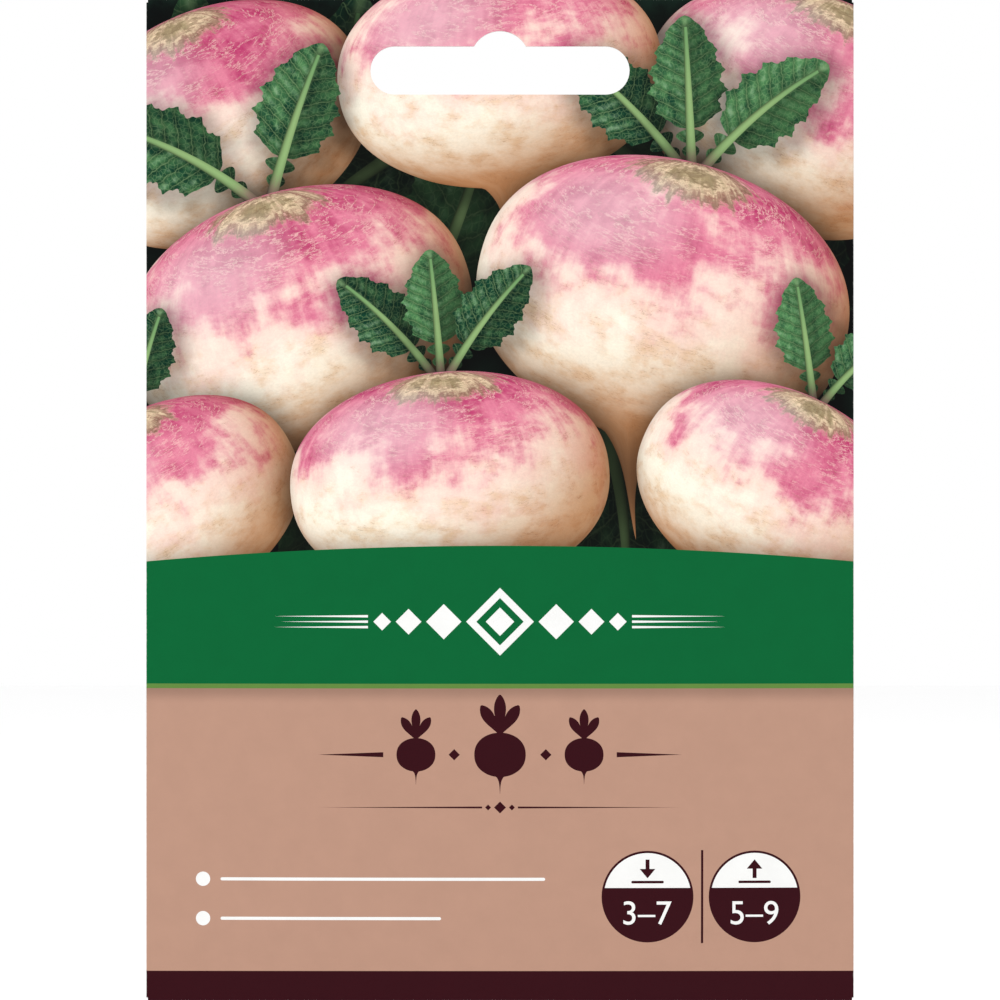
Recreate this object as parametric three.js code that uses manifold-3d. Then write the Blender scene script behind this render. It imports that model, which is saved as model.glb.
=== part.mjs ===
// A paper seed packet of the kind that hangs on a shop peg, with its foil sachet and seeds inside.
// One sheet of paper makes the packet: a front panel, two back panels that overlap in a glued
// centre seam, and a bottom and a top flap folded over the back. A hang slot is punched through
// every layer of the header. Millimetres, +Z up, the front faces -Y, and the origin is the top of
// the slot's round notch, where a peg carries the packet.
import * as THREE from "three";
import { mergeVertices } from "three/addons/utils/BufferGeometryUtils.js";
import Module from "manifold-3d";

const wasm = await Module();
wasm.setup();

// The packet's outside size and its paper
const packetWidth = 113;
const packetHeight = 160;
const paperThickness = 0.2;
const foldGap = 0.12; // air left between the front and back panels along the side folds
const layerGap = 0.15; // air left between layers that lie on each other
const bendHeight = 0.55; // how far a flap's bend stands out past the panels' ends
const foldSteps = 4; // flat facets round a half-round fold

// The back's seam and flaps
const seamHalf = 6; // the back panels overlap from -seamHalf to +seamHalf
const stepWidth = 3; // a layer comes down over this width where the layer under it ends
const bottomFlap = 18;
const topFlap = 22;
const flapTaper = 0.1; // share of its width that a flap has lost at its free edge

// The hang slot: a long bar with round ends, and a round notch over its middle.
// Heights marked "up" are measured from the packet's bottom edge.
const slotWidth = 41.4;
const slotBar = 7.7;
const slotMiddleUp = 148.6;
const notchRadius = 4.75;
const notchTopUp = 154.9;
const arcSegments = 14;

// How the sachet and the seeds swell the pouch, on each side of its middle plane
const swell = 2.1;
const fullFromUp = 24; // the swelling is full from here
const slackFromUp = 30; // it thins from here, to slackShare of itself at slackToUp
const slackToUp = 112;
const slackShare = 0.5;
const headerFromUp = 136; // the header is flat from here

// The foil sachet and the seeds in it
const sachetHalfWidth = 38;
const sachetBottomUp = 10;
const sachetTopUp = 112;
const foilThickness = 0.15;
const sealMargin = 4;
const sealRamp = 6;
const clearance = 0.35; // between neighbouring pieces
const seedRadius = 0.95;
const seedPitch = 1.5;
const heapHalfWidth = 10.5;
const heapHeight = 5.2;
const heapBottomUp = 22;

const panelBottomUp = bendHeight;
const panelTopUp = packetHeight - bendHeight;
const foldCentre = packetWidth / 2 - foldGap / 2 - paperThickness;
const layerStep = paperThickness + layerGap;
const panelStepFrom = seamHalf + 1;
const flapStepFrom = seamHalf + 2;

const clamp01 = (t) => Math.min(1, Math.max(0, t));
const smooth = (t) => clamp01(t) ** 2 * (3 - 2 * clamp01(t));
const mix = (a, b, t) => a + (b - a) * t;
const mirrored = (list) => [...list.map((x) => -x).reverse(), ...list];

// Height above the packet's bottom edge to the part's own Z
const toZ = (up) => up - notchTopUp;

// Half the inside depth of the pouch
function pouchHalf(x, up) {
  const across = Math.max(0, 1 - (x / foldCentre) ** 2);
  const rise = 1 - (1 - clamp01((up - panelBottomUp) / fullFromUp)) ** 2;
  const thin = mix(1, slackShare, smooth((up - slackFromUp) / (slackToUp - slackFromUp)));
  const close = 1 - clamp01((up - slackToUp) / (headerFromUp - slackToUp)) ** 2;
  return foldGap / 2 + swell * across * rise * thin * close;
}

// The right back panel lies on the left one, and the flaps lie on both
const panelLift = (x) => 1 - smooth((x - panelStepFrom) / stepWidth);
const flapLift = (x) => 1 - smooth((Math.abs(x) - flapStepFrom) / stepWidth);
const flapInner = (x, up) => pouchHalf(x, up) + layerStep * (1 + flapLift(x));

// Turns matching outer and inner points, and the outer side's triangles, into one closed sheet
function thickSheet(outer, inner, triangles) {
  const offset = outer.length;
  const index = [];
  const directed = new Set();
  for (const [a, b, c] of triangles) {
    index.push(a, b, c, a + offset, c + offset, b + offset);
    for (const [p, q] of [[a, b], [b, c], [c, a]]) directed.add(`${p},${q}`);
  }
  for (const edge of directed) {
    const [p, q] = edge.split(",").map(Number);
    if (directed.has(`${q},${p}`)) continue;
    index.push(q, p, p + offset, q, p + offset, q + offset);
  }
  const geometry = new THREE.BufferGeometry();
  const positions = [...outer, ...inner].flat();
  geometry.setAttribute("position", new THREE.Float32BufferAttribute(positions, 3));
  geometry.setIndex(index);
  return geometry;
}

function toSolid(geometry) {
  const bare = geometry.clone();
  bare.deleteAttribute("normal");
  bare.deleteAttribute("uv");
  const merged = mergeVertices(bare, 1e-4);
  return new wasm.Manifold(
    new wasm.Mesh({
      numProp: 3,
      vertProperties: new Float32Array(merged.attributes.position.array),
      triVerts: new Uint32Array(merged.index.array),
    }),
  );
}

function toGeometry(solid) {
  const mesh = solid.getMesh();
  const geometry = new THREE.BufferGeometry();
  geometry.setAttribute("position", new THREE.Float32BufferAttribute(mesh.vertProperties, 3));
  geometry.setIndex([...mesh.triVerts]);
  return geometry;
}

// Columns across each panel, closer together where the layers step
const outerColumns = [0.35, 0.57, 0.78, 0.93, 1].map((share) => share * foldCentre);
const flapColumns = [flapStepFrom, flapStepFrom + stepWidth];
const frontColumns = mirrored([...flapColumns, ...outerColumns]);
const rightColumns = [-seamHalf, panelStepFrom, panelStepFrom + stepWidth, ...outerColumns];
const leftColumns = [...outerColumns.map((x) => -x).reverse(), -panelStepFrom, seamHalf];

// Rows up the sheet, closer together where the pouch swells and closes
const rowsUp = [
  panelBottomUp, 5, 11, bottomFlap, fullFromUp, 40, 58, 76, 94, slackToUp, 120, 128,
  headerFromUp, packetHeight - topFlap, panelTopUp,
];

// Points of the sheet, each as [outer, inner]
const frontPoint = (x, up) => {
  const y = -pouchHalf(x, up);
  return [[x, y - paperThickness, toZ(up)], [x, y, toZ(up)]];
};
const backPoint = (x, up, lift) => {
  const y = pouchHalf(x, up) + layerStep * lift;
  return [[x, y + paperThickness, toZ(up)], [x, y, toZ(up)]];
};
const foldPoint = (side, angle, up) =>
  [foldGap / 2 + paperThickness, foldGap / 2].map((radius) => [
    side * (foldCentre + radius * Math.cos(angle)),
    radius * Math.sin(angle),
    toZ(up),
  ]);

// A flap leaves the front panel's end round a bend, past the back panels' ends, and then lies on them
const bendPoint = (x, up, angle, way) => {
  const middle = (flapInner(x, up) - pouchHalf(x, up)) / 2;
  const reach = (flapInner(x, up) + pouchHalf(x, up)) / 2;
  return [paperThickness, 0].map((extra) => [
    x,
    middle - (reach + extra) * Math.cos(angle),
    toZ(up) + way * (bendHeight - paperThickness + extra) * Math.sin(angle),
  ]);
};
const flapPoint = (x, up, fromBend, length) => {
  const narrowed = x * (1 - flapTaper * (fromBend / length));
  const y = pouchHalf(narrowed, up) + layerStep * (1 + flapLift(x));
  return [[narrowed, y + paperThickness, toZ(up)], [narrowed, y, toZ(up)]];
};

function foldedPacket() {
  const outer = [];
  const inner = [];
  const triangles = [];
  const add = ([outerPoint, innerPoint]) => {
    outer.push(outerPoint);
    inner.push(innerPoint);
    return outer.length - 1;
  };
  const join = (low, high) => {
    for (let i = 0; i + 1 < low.length; i++) {
      triangles.push([low[i], low[i + 1], high[i + 1]]);
      triangles.push([low[i], high[i + 1], high[i]]);
    }
  };
  const turns = Array.from({ length: foldSteps - 1 }, (_, k) => ((k + 1) * Math.PI) / foldSteps);

  // A row runs round the tube: left back panel, left fold, front panel, right fold, right back panel
  const rows = rowsUp.map((up) => {
    const left = [...leftColumns].reverse().map((x) => add(backPoint(x, up, 0)));
    const leftFold = turns.map((turn) => add(foldPoint(-1, Math.PI / 2 - turn, up)));
    const front = frontColumns.map((x) => add(frontPoint(x, up)));
    const rightFold = turns.map((turn) => add(foldPoint(1, turn - Math.PI / 2, up)));
    const right = [...rightColumns].reverse().map((x) => add(backPoint(x, up, panelLift(x))));
    return { front, round: [...left, ...leftFold, ...front, ...rightFold, ...right] };
  });
  for (let j = 0; j + 1 < rows.length; j++) join(rows[j].round, rows[j + 1].round);

  // The flaps carry on from the front panel's end rows
  const bendTurns = [...turns, Math.PI];
  const flapRows = (up, way, heights, length) => [
    ...bendTurns.map((turn) => frontColumns.map((x) => add(bendPoint(x, up, turn, way)))),
    ...heights.map((h) => frontColumns.map((x) => add(flapPoint(x, h, Math.abs(h - up), length)))),
  ];
  const bottomHeights = rowsUp.filter((up) => up > panelBottomUp && up <= bottomFlap);
  const down = [rows[0].front, ...flapRows(panelBottomUp, -1, bottomHeights, bottomFlap)];
  const over = [rows.at(-1).front, ...flapRows(panelTopUp, 1, [packetHeight - topFlap], topFlap)];
  for (let j = 0; j + 1 < down.length; j++) join(down[j + 1], down[j]);
  for (let j = 0; j + 1 < over.length; j++) join(over[j], over[j + 1]);
  return thickSheet(outer, inner, triangles);
}

// The slot's outline, drawn from the notch's right foot over the notch and round the bar's two ends
function slotShape() {
  const endRadius = slotBar / 2;
  const endCentre = slotWidth / 2 - endRadius;
  const notchMiddleUp = notchTopUp - notchRadius;
  const barTopUp = slotMiddleUp + endRadius;
  const foot = Math.asin((barTopUp - notchMiddleUp) / notchRadius);
  const shape = new THREE.Shape();
  shape.absarc(0, toZ(notchMiddleUp), notchRadius, foot, Math.PI - foot, false);
  shape.absarc(-endCentre, toZ(slotMiddleUp), endRadius, Math.PI / 2, Math.PI * 1.5, false);
  shape.absarc(endCentre, toZ(slotMiddleUp), endRadius, -Math.PI / 2, Math.PI / 2, false);
  return shape;
}

function punchedPacket() {
  const depth = 6;
  const punch = new THREE.ExtrudeGeometry(slotShape(), {
    depth,
    bevelEnabled: false,
    curveSegments: arcSegments,
  });
  // The shape's own Y becomes Z, and its thickness runs along Y through every layer
  punch.rotateX(Math.PI / 2);
  punch.translate(0, depth / 2, 0);
  return toGeometry(toSolid(foldedPacket()).subtract(toSolid(punch)));
}

// Half the sachet's outside depth: flat in its sealed margins, and filling the pouch between them
function sachetHalf(x, up) {
  const sealed = foilThickness + clearance / 2;
  const fromSide = (sachetHalfWidth - sealMargin - Math.abs(x)) / sealRamp;
  const fromBottom = (up - sachetBottomUp - sealMargin) / sealRamp;
  const fromTop = (sachetTopUp - sealMargin - up) / sealRamp;
  const full = smooth(fromSide) * smooth(fromBottom) * smooth(fromTop);
  return mix(sealed, pouchHalf(x, up) - clearance, full);
}

// One of the sachet's two foils: side is -1 for the front foil and 1 for the back one
function foil(side) {
  const sealInner = sachetHalfWidth - sealMargin;
  const rampInner = sealInner - sealRamp;
  const columns = mirrored([rampInner / 3, rampInner, sealInner, sachetHalfWidth]);
  const rampBottomUp = sachetBottomUp + sealMargin + sealRamp;
  const rampTopUp = sachetTopUp - sealMargin - sealRamp;
  const rows = [sachetBottomUp, sachetBottomUp + sealMargin, rampBottomUp, 30, 46, 64, 84];
  rows.push(rampTopUp, sachetTopUp - sealMargin, sachetTopUp);
  const outer = [];
  const inner = [];
  const triangles = [];
  for (const up of rows)
    for (const x of columns) {
      const half = sachetHalf(x, up);
      outer.push([x, side * half, toZ(up)]);
      inner.push([x, side * (half - foilThickness), toZ(up)]);
    }
  const at = (i, j) => j * columns.length + i;
  for (let j = 0; j + 1 < rows.length; j++)
    for (let i = 0; i + 1 < columns.length; i++) {
      const corners = [at(i, j), at(i + 1, j), at(i + 1, j + 1), at(i, j + 1)];
      if (side > 0) corners.reverse();
      const [a, b, c, d] = corners;
      triangles.push([a, b, c], [a, c, d]);
    }
  return thickSheet(outer, inner, triangles);
}

// A small seeded generator, so that the heap is the same every time
function seededRandom(seed) {
  let state = seed;
  return () => {
    state = (state * 1664525 + 1013904223) % 4294967296;
    return state / 4294967296;
  };
}

// Seeds lie one deep in a mound at the bottom of the sachet, each pressed against its neighbours
function seedHeap() {
  const random = seededRandom(20);
  const jitter = () => (random() - 0.5) * 0.1;
  const rowPitch = seedPitch * Math.sqrt(0.75);
  const seeds = [];
  for (let row = 0; row * rowPitch < heapHeight; row++)
    for (let x = -heapHalfWidth; x <= heapHalfWidth; x += seedPitch) {
      const across = x + (row % 2) * (seedPitch / 2);
      const height = row * rowPitch;
      if (height > heapHeight * (1 - (across / heapHalfWidth) ** 2)) continue;
      const seed = new THREE.IcosahedronGeometry(seedRadius, 0);
      seed.rotateX(random() * Math.PI);
      seed.rotateZ(random() * Math.PI);
      seed.translate(across + jitter(), jitter(), toZ(heapBottomUp + height) + jitter());
      seeds.push(toSolid(seed));
    }
  return toGeometry(wasm.Manifold.union(seeds));
}

const surface = (color, roughness, metalness) =>
  new THREE.MeshStandardMaterial({ color, roughness, metalness });
const printedPaper = surface("#c19884", 0.5, 0);
const sachetFoil = surface("#c9cbce", 0.35, 0.9);
const seedCoat = surface("#5a2f22", 0.7, 0);

const packet = new THREE.Group();
function place(name, geometry, material) {
  geometry.computeVertexNormals();
  const mesh = new THREE.Mesh(geometry, material);
  mesh.name = name;
  packet.add(mesh);
}
place("paper_packet", punchedPacket(), printedPaper);
place("sachet_front_foil", foil(-1), sachetFoil);
place("sachet_back_foil", foil(1), sachetFoil);
place("seeds", seedHeap(), seedCoat);

export default packet;
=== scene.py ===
import math

import bpy
import numpy as np
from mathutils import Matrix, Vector
from mathutils.geometry import delaunay_2d_cdt


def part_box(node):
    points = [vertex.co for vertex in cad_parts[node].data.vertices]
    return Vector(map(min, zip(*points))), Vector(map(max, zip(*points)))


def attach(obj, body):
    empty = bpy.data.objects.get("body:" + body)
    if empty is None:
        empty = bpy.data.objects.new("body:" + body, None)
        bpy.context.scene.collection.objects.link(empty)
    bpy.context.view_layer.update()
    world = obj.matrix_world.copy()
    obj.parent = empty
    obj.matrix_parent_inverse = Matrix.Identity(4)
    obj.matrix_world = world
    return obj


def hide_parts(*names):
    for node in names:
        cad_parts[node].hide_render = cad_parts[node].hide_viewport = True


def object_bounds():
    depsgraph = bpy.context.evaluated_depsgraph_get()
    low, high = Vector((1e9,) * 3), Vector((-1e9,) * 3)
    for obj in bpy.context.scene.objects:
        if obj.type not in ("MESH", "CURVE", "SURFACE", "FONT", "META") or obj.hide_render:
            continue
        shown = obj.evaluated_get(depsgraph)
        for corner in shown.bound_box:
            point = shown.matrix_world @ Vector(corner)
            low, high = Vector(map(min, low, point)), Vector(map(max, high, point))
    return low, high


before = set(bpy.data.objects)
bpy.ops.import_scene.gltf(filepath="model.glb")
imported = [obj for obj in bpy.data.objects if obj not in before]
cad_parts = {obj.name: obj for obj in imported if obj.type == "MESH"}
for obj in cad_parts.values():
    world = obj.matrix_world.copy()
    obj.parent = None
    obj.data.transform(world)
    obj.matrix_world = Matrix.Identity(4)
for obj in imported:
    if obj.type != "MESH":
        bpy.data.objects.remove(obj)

mm = 0.001
cadLow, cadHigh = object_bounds()
paperLow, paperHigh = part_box("paper_packet")
print("frame loaded")

# Heights called "up" are in millimetres above the packet's bottom edge.
packet = {
    "halfWidth": round((paperHigh.x - paperLow.x) / 2 / mm, 3),
    "height": round((paperHigh.z - paperLow.z) / mm, 3),
    "bottomZ": round(paperLow.z / mm, 3),
    "paper": 0.15,
    "foldRadius": 0.26,  # outside radius of the side folds
    "bendHeight": 0.55,  # how far a flap's bend stands out past the back panels
    "bendLength": 1.7,
    "layerStep": 0.19,  # one paper and a little air
    "seamHalf": 6,
    "stepWidth": 3,
    "bottomFlap": 18,
    "topFlap": 22,
    "flapTaper": 0.1,
    "swell": 1.95,
    "fullFrom": 24,
    "slackFrom": 30,
    "slackTo": 112,
    "slackShare": 0.5,
    "headerFrom": 136,
    "pressed": 0.07,  # how far the sachet shows through the paper, and where
    "pressedHalf": 38,
    "pressedFrom": 9,
    "pressedTo": 113,
    "pressedSoft": 2.5,
    "waves": 0.05,
}
foldCentre = packet["halfWidth"] - packet["foldRadius"]
foldEnd = foldCentre + packet["foldRadius"] * math.pi / 2
panelBottom = packet["bendHeight"]
panelTop = packet["height"] - packet["bendHeight"]
bendHalf = packet["bendLength"] / 2


def clamp01(t):
    return np.clip(t, 0, 1)


def link(name, data):  # a new object in the scene
    made = bpy.data.objects.new(name, data)
    bpy.context.scene.collection.objects.link(made)
    return made


def smooth(t):
    t = clamp01(t)
    return t * t * (3 - 2 * t)


def outHalf(x, up):  # from the middle plane to the outside of the paper
    p = packet
    across = np.maximum(0, 1 - (x / foldCentre) ** 2)
    rise = 1 - (1 - clamp01((up - panelBottom) / p["fullFrom"])) ** 2
    thin = 1 - (1 - p["slackShare"]) * smooth((up - p["slackFrom"]) / (p["slackTo"] - p["slackFrom"]))
    close = 1 - clamp01((up - p["slackTo"]) / (p["headerFrom"] - p["slackTo"])) ** 2
    full = across * rise * thin * close
    pressed = close * smooth((p["pressedHalf"] - np.abs(x)) / p["pressedSoft"])
    for inside in (up - p["pressedFrom"], p["pressedTo"] - up):
        pressed = pressed * smooth(inside / p["pressedSoft"])
    waves = full * np.sin(x / 15 + up / 31 + 0.6) * np.sin(up / 19 - x / 43 + 1.9)
    return p["foldRadius"] + p["swell"] * full + p["pressed"] * pressed + p["waves"] * waves


def panelLift(x):
    return 1 - smooth((x - packet["seamHalf"] - 1) / packet["stepWidth"])


def flapLift(x):
    return 1 - smooth((np.abs(x) - packet["seamHalf"] - 2) / packet["stepWidth"])


def flapOut(x, up):
    return outHalf(x, up) + packet["layerStep"] * (1 + flapLift(x))


def foldAround(x, y, side):  # carries the flat panel's edge round its half-round side fold
    turn = np.clip((np.abs(x) - foldCentre) / packet["foldRadius"], 0, None)
    onFold = turn > 0
    roundX = np.sign(x) * (foldCentre + packet["foldRadius"] * np.sin(turn))
    roundY = side * packet["foldRadius"] * np.cos(turn)
    return np.where(onFold, roundX, x), np.where(onFold, roundY, y)


def bendAround(x, y, w, startTurn):  # carries the sheet round the bend at either end
    up = np.clip(w, panelBottom, panelTop)
    past = w - up
    turn = np.abs(past) / packet["bendLength"] * math.pi
    if startTurn:
        turn = startTurn - turn
    front = outHalf(np.clip(x, -foldCentre, foldCentre), up)
    back = flapOut(x, up)
    bentY = (back - front) / 2 - (back + front) / 2 * np.cos(turn)
    onBend = np.abs(past) > 0
    z = up + np.sign(past) * packet["bendHeight"] * np.sin(turn)
    return np.where(onBend, bentY, y), np.where(onBend, z, w)


def frontPlace(x, w):
    inner = np.clip(x, -foldCentre, foldCentre)
    up = np.clip(w, panelBottom, panelTop)
    px, py = foldAround(x, -outHalf(inner, up), -1)
    py, pz = bendAround(x, py, w, 0)
    return np.stack([px, py, pz], -1)


def leftPlace(x, w):
    px, py = foldAround(x, outHalf(np.clip(x, -foldCentre, foldCentre), w), 1)
    return np.stack([px, py, w], -1)


def rightPlace(x, w):
    half = outHalf(np.clip(x, -foldCentre, foldCentre), w)
    px, py = foldAround(x, half + packet["layerStep"] * panelLift(x), 1)
    return np.stack([px, py, w], -1)


def flapPlace(x, w):
    up = np.clip(w, panelBottom, panelTop)
    py, pz = bendAround(x, flapOut(x, up), w, math.pi)
    return np.stack([x, py, pz], -1)


def arc(cx, cy, radius, start, end, steps):
    angles = np.linspace(start, end, steps + 1)
    return np.stack([cx + radius * np.cos(angles), cy + radius * np.sin(angles)], -1)


def circle(cx, cy, radius, steps):
    return arc(cx, cy, radius, 0, 2 * math.pi, steps)[:-1]


def resample(loop, step):
    loop = np.asarray(loop, float)
    made = []
    for a, b in zip(loop, np.roll(loop, -1, 0)):
        pieces = max(1, int(np.ceil(np.linalg.norm(b - a) / step)))
        made.extend(a + (b - a) * k / pieces for k in range(pieces))
    return np.array(made)


def ring(loop, step=1.6):  # a closed outline as its points and edges
    loop = resample(loop, step)
    return loop, chain(0, len(loop), True)


def chain(start, count, closed=False):
    links = np.stack([np.arange(count), np.arange(1, count + 1)], -1)
    links[-1, 1] = 0
    return start + (links if closed else links[:-1])


def isInside(points, outline):  # even-odd test
    corners, edges = outline
    inside = np.zeros(len(points), bool)
    near = np.all((points >= corners.min(0)) & (points <= corners.max(0)), 1)
    x, y = points[near].T
    odd = np.zeros(near.sum(), bool)
    for a, b in corners[edges]:
        if a[1] == b[1]:
            continue
        crosses = (a[1] > y) != (b[1] > y)
        odd ^= crosses & (x < a[0] + (b[0] - a[0]) * (y - a[1]) / (b[1] - a[1]))
    inside[near] = odd
    return inside


def distanceTo(points, outline):
    corners, edges = outline
    best = np.full(len(points), 1e9)
    for a, b in corners[edges]:
        along = b - a
        t = clamp01(((points - a) @ along) / max(along @ along, 1e-12))
        best = np.minimum(best, np.linalg.norm(points - a - t[:, None] * along, axis=1))
    return best


# A motif is one printed shape: its outline, its ink or paint, and its own coordinates.
def motif(outline, paint, local=None, seed=0.0, shadow=0.0, soft=2.0, dim=1.0):
    return {
        "outline": outline,
        "paint": paint,
        "local": local or (lambda x, w: (x, w)),
        "seed": seed,
        "shadow": shadow,
        "soft": soft,
        "dim": dim,
    }


def printed(loop, ink):  # a flat shape in one ink
    return motif(ring(loop), ink)


slot = {
    "width": 41.4,
    "bar": 7.7,
    "middle": 148.6,
    "notchRadius": 4.75,
    "notchTop": -packet["bottomZ"],  # a peg touches the notch's top at height zero
}


def slotLoop():
    end = slot["bar"] / 2
    endCentre = slot["width"] / 2 - end
    notchMiddle = slot["notchTop"] - slot["notchRadius"]
    foot = math.asin((slot["middle"] + end - notchMiddle) / slot["notchRadius"])
    notch = arc(0, notchMiddle, slot["notchRadius"], foot, math.pi - foot, 16)
    left = arc(-endCentre, slot["middle"], end, math.pi / 2, math.pi * 1.5, 20)
    right = arc(endCentre, slot["middle"], end, -math.pi / 2, math.pi / 2, 20)
    return np.concatenate([notch, left, right])


# The picture: turnips with their leaves on a dark ground
picture = {
    "arcSide": 70.2,  # the band's arched top at the packet's sides
    "arcMiddle": 72.7,
    "outlineStep": 0.9,
    "stalkStep": 1.2,
    "tail": 0.7,  # in half heights of the root
    "tailHalf": (0.19, 0.018),  # at the body and further down, in half widths of the root
    "squareness": 2.25,  # 2 makes the body an ellipse
    "lobes": (0.2, 5.5),  # a blade's: how deep, and how many
    "teeth": (0.07, 17),
    "farLeafHalf": 11,
    "farLeaf": (0.1, 0.38),  # the share of its length before the blade, and its brightness
    "nearLeaf": (0.32, 0.95),
    "leafFanCurl": 0.6,
    "rootShade": (0.72, 3.2),  # how dark and how soft a shadow each throws on what is behind it
    "bladeShade": (0.55, 2.2),
    "stalkShade": (0.35, 1.0),
}


def turnip(x, up, halfWidth, halfHeight, tilt, seed, tail, bend, dim=1.0):
    turn = math.radians(tilt)
    c, s = math.cos(turn), math.sin(turn)
    heights = np.concatenate([np.cos(np.linspace(0, math.pi * 0.97, 60)), np.linspace(-1.01, -1 - tail, 20)])

    def halfAt(v):  # the body's half width, running on into the tail's
        foot, tip = picture["tailHalf"]
        body = np.sqrt(np.clip(1 - np.abs(v) ** picture["squareness"], 0, 1))
        taper = clamp01((v + 1 + tail) / tail) ** 0.6
        root = (foot * np.exp((np.minimum(v, 0) + 0.93) / 0.2) + tip) * np.where(v < -1, taper, 1)
        return np.where(v < -0.75, (body ** 3 + (root * smooth((-0.75 - v) / 0.2)) ** 3) ** (1 / 3), body)

    def middleAt(v):
        return bend * np.clip(-v - 0.8, 0, None) ** 1.6

    half, middle = halfAt(heights), middleAt(heights)
    right = np.stack([middle + half, heights], -1)
    left = np.stack([middle - half, heights], -1)[::-1]
    local = np.concatenate([left[:-1], right[1:]]) * [halfWidth, halfHeight]
    loop = np.stack([x + local[:, 0] * c - local[:, 1] * s, up + local[:, 0] * s + local[:, 1] * c], -1)

    def toLocal(px, pw):
        dx, dy = px - x, pw - up
        u, v = (dx * c + dy * s) / halfWidth, (-dx * s + dy * c) / halfHeight
        across = np.clip((u - middleAt(v)) / np.maximum(halfAt(v), 1e-3), -1, 1)
        low = np.where(v < -0.85, -0.85 - 0.08 * (1 - np.exp(np.minimum(0, v + 0.85) / 0.08)), v)
        return across * np.sqrt(np.clip(1 - low ** 2, 0, 1)), low  # the tail is shaded as a round rod

    crown = (x - 0.86 * halfHeight * s, up + 0.86 * halfHeight * c)
    made = motif(ring(loop, picture["outlineStep"]), "rootSkin", toLocal, seed, *picture["rootShade"], dim)
    return made, crown


def leaf(base, heading, length, width, curl, seed, bladeFrom, dim):
    angle = math.radians(heading)
    curl = math.radians(curl) or 1e-3
    radius = length / curl
    centre = np.array(base) + radius * np.array([-math.sin(angle), math.cos(angle)])

    def place(s, t):  # s runs along the rib and t across it
        h = angle + curl * s
        return centre + np.stack([(radius - t) * np.sin(h), -(radius - t) * np.cos(h)], -1)

    def along(px, pw):
        dx, dy = px - centre[0], pw - centre[1]
        sign = math.copysign(1, radius)
        h = np.arctan2(sign * dx, -sign * dy)
        h = angle + (h - angle + math.pi) % (2 * math.pi) - math.pi
        return (h - angle) / curl, radius - sign * np.hypot(dx, dy)

    leafletFrom = bladeFrom * 0.42

    def stalkHalf(s):  # it thins towards the tip
        return (1.15 - 0.95 * s) * width * 0.1 + 0.12

    def bladeHalf(s):
        (lobeDepth, lobeCount), (toothDepth, toothCount) = picture["lobes"], picture["teeth"]
        b = clamp01((s - bladeFrom) / (1 - bladeFrom))
        lobes = 1 - lobeDepth * np.abs(np.sin(b * math.pi * lobeCount + seed)) ** 1.5 * (1 - 0.4 * b)
        teeth = 1 - toothDepth * np.abs(np.sin(b * math.pi * toothCount + seed * 3))
        blade = width * np.sin(math.pi * b ** 0.72) ** 0.62 * lobes * teeth
        below = clamp01((s - leafletFrom) / (bladeFrom - leafletFrom))
        leaflets = width * (0.14 + 0.26 * below) * np.abs(np.sin(math.pi * 2 * below)) ** 0.7
        return np.where(s < bladeFrom, leaflets, blade)

    s = np.concatenate([np.linspace(leafletFrom, bladeFrom, 24)[:-1], np.linspace(bladeFrom, 1, 90)])
    half = bladeHalf(s)
    blade = np.concatenate([place(s, half), place(s, -half * 0.96)[-2:0:-1]])
    rib = np.linspace(0, 0.93, 30)
    stalk = np.concatenate([place(rib, stalkHalf(rib)), place(rib, -stalkHalf(rib))[::-1]])

    def bladeLocal(px, pw):
        s, t = along(px, pw)
        return (s - bladeFrom) / (1 - bladeFrom), t / width

    def stalkLocal(px, pw):
        s, t = along(px, pw)
        return s, t / stalkHalf(s)

    p = picture
    return [
        motif(ring(blade, p["outlineStep"]), "leafBlade", bladeLocal, seed, *p["bladeShade"], dim),
        motif(ring(stalk, p["stalkStep"]), "leafStalk", stalkLocal, seed, *p["stalkShade"], dim),
    ]


def bandTop():
    half = packet["halfWidth"] + 1
    sagitta = picture["arcMiddle"] - picture["arcSide"]
    radius = (packet["halfWidth"] ** 2 + sagitta ** 2) / (2 * sagitta)
    across = np.linspace(half, -half, 90)
    return np.stack([across, picture["arcMiddle"] - radius + np.sqrt(radius ** 2 - across ** 2)], -1)


def box(x0, up0, x1, up1):
    return np.array([[x0, up0], [x1, up0], [x1, up1], [x0, up1]], float)


# Each root: x, up, half width, half height, tilt, seed and brightness
roots = {
    "topLeft": (-45, 140, 25, 18.5, 24, 31, 0.97),
    "topRight": (48, 142, 26, 19, -22, 33, 0.97),
    "top": (0, 148, 26, 18, 5, 21, 1.0),
    "left": (-32, 109, 28, 20.5, 17, 3, 1.0),
    "right": (26, 112, 30, 22.5, -14, 5, 1.0),
    "lowMiddle": (-8, 83, 25.5, 17.5, 5, 8, 1.0),
    "lowRight": (44, 81, 23, 16.5, -26, 12, 1.0),
    "lowLeft": (-53, 79, 22, 16, 28, 15, 1.0),
}

# Leaves behind the roots: x, up, heading, length, curl
farLeaves = [
    (-50, 116, 75, 46, 30), (-18, 116, 115, 46, -40), (14, 112, 75, 52, 35), (46, 84, 96, 52, -25),
    (-18, 100, 235, 40, 35), (14, 100, 292, 44, -30), (46, 112, 250, 40, 30), (-46, 106, 270, 36, -30),
    (-8, 140, 206, 44, 25), (10, 142, 330, 46, -25), (50, 138, 215, 40, 30), (-16, 104, 62, 46, 15),
]

# Leaves that rise from a crown: the root, their headings, length and half width
leafFans = {
    "behind": [("left", (138, 76), 31, 7.4), ("right", (124, 92, 52), 29, 6.8)],
    "between": [
        ("lowMiddle", (124, 94, 62), 24, 5.6),
        ("lowRight", (96, 54), 22, 5.2),
        ("lowLeft", (128, 78), 22, 5.2),
    ],
}


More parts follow.
